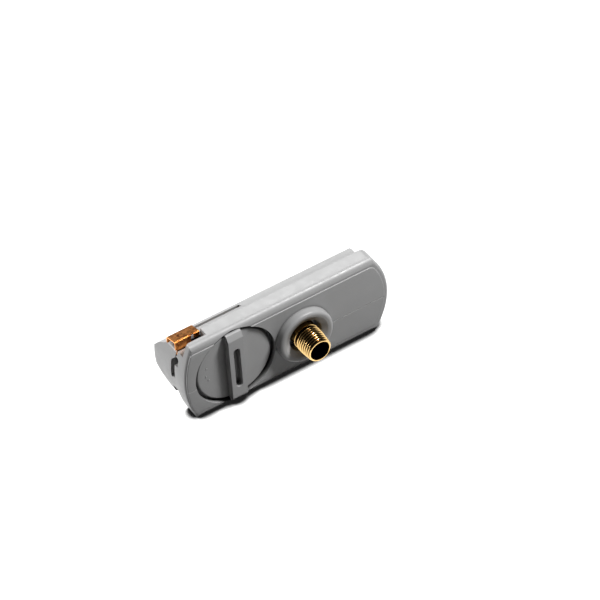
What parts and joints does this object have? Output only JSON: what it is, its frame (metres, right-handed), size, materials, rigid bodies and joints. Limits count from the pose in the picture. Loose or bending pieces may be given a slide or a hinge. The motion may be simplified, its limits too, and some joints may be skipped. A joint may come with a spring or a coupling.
{
  "type": "single-circuit lighting-track adapter",
  "caption": "Lighting-track adapter for one circuit: long moulded body, quarter-turn locking knob, dished collar with a threaded brass nipple, sprung earth contact.",
  "frame": {"origin": "on the nipple's axis, in the plane of the face rim", "axes": "+X along the body from the knob to the plain rounded end, -Y out of the face along the nipple, +Z across the width"},
  "size_m": [0.0823, 0.0338, 0.034],
  "materials": {
    "body_plastic": "satin moulded, silver grey",
    "rotor_plastic": "satin moulded, dark grey",
    "terminal_plastic": "natural moulded",
    "steel": "zinc plated",
    "brass": "turned, bright",
    "copper": "rolled spring copper"
  },
  "bodies": {
    "body": {"face_cover": "body_plastic", "housing": "body_plastic", "rotor_washer": "steel", "live_wiper_strip": "copper", "neutral_wiper_strip": "copper", "earth_strip": "copper", "terminal_block": "terminal_plastic", "live_terminal_clamp": "brass", "neutral_terminal_clamp": "brass", "earth_terminal_clamp": "brass", "terminal_screws": "steel", "nipple": "brass", "nipple_plate": "steel", "nipple_lock_washer": "steel", "nipple_lock_nut": "steel", "cover_screws": "steel"},
    "rotor": {"knob": "body_plastic", "rotor_drum": "rotor_plastic", "rotor_screw": "steel", "locking_wing_plate": "steel", "live_ring_segment": "copper", "neutral_ring_segment": "copper"},
    "live_shoe": {"live_contact_shoe": "copper"},
    "neutral_shoe": {"neutral_contact_shoe": "copper"},
    "earth_leaf": {"earth_contact": "copper"}
  },
  "joints": [
    {"name": "knob_turn", "type": "hinge", "parent": "body", "child": "rotor", "pos_m": [-0.0269, 0, 0], "axis": [0, 1, 0], "range_deg": [0, 90]},
    {"name": "live_shoe_press", "type": "slide", "parent": "rotor", "child": "live_shoe", "axis": [-1, 0, 0], "range_m": [0, 0.0008], "stiffness_N_per_m": 1500},
    {"name": "neutral_shoe_press", "type": "slide", "parent": "rotor", "child": "neutral_shoe", "axis": [1, 0, 0], "range_m": [0, 0.0008], "stiffness_N_per_m": 1500},
    {"name": "earth_leaf_press", "type": "hinge", "parent": "body", "child": "earth_leaf", "pos_m": [-0.0428, 0.00685, 0.0113], "axis": [1, 0, 0], "range_deg": [0, 25], "stiffness_Nm_per_rad": 0.05}
  ]
}
